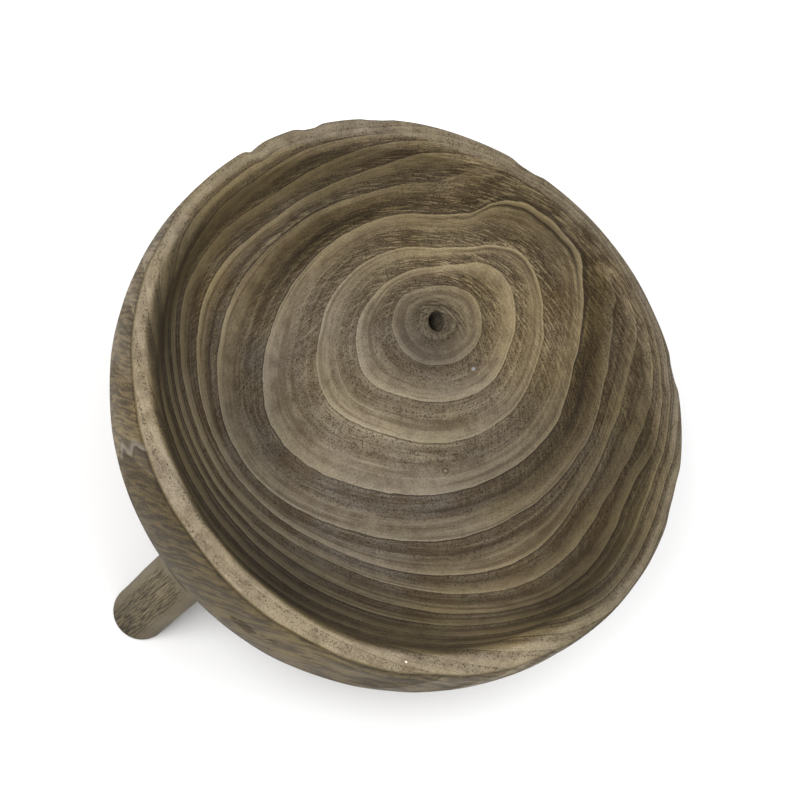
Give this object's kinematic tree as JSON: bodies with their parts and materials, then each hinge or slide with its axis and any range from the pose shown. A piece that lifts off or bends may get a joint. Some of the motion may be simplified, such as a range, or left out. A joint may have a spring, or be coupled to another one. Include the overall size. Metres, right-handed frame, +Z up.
{
  "type": "footed wooden bowl",
  "caption": "Wide round bowl cut from a whole log section, with an open pith in its hollow and short splayed peg legs under it.",
  "frame": {"origin": "on the floor, under the middle of the bowl", "axes": "+Z up through the hollow; one leg stands towards -Y, the other two towards +X and -X behind it"},
  "size_m": [0.3347, 0.3348, 0.168],
  "materials": {
    "bowl_wood": "grey-brown stained paulownia end grain, dull oil",
    "leg_wood": "grey-brown stained paulownia, lengthwise grain, dull oil",
    "dowel_wood": "raw beech, fluted"
  },
  "bodies": {
    "root": {"bowl": "bowl_wood", "leg_front": "leg_wood", "leg_right": "leg_wood", "leg_left": "leg_wood", "dowel_front": "dowel_wood", "dowel_right": "dowel_wood", "dowel_left": "dowel_wood"}
  },
  "joints": []
}
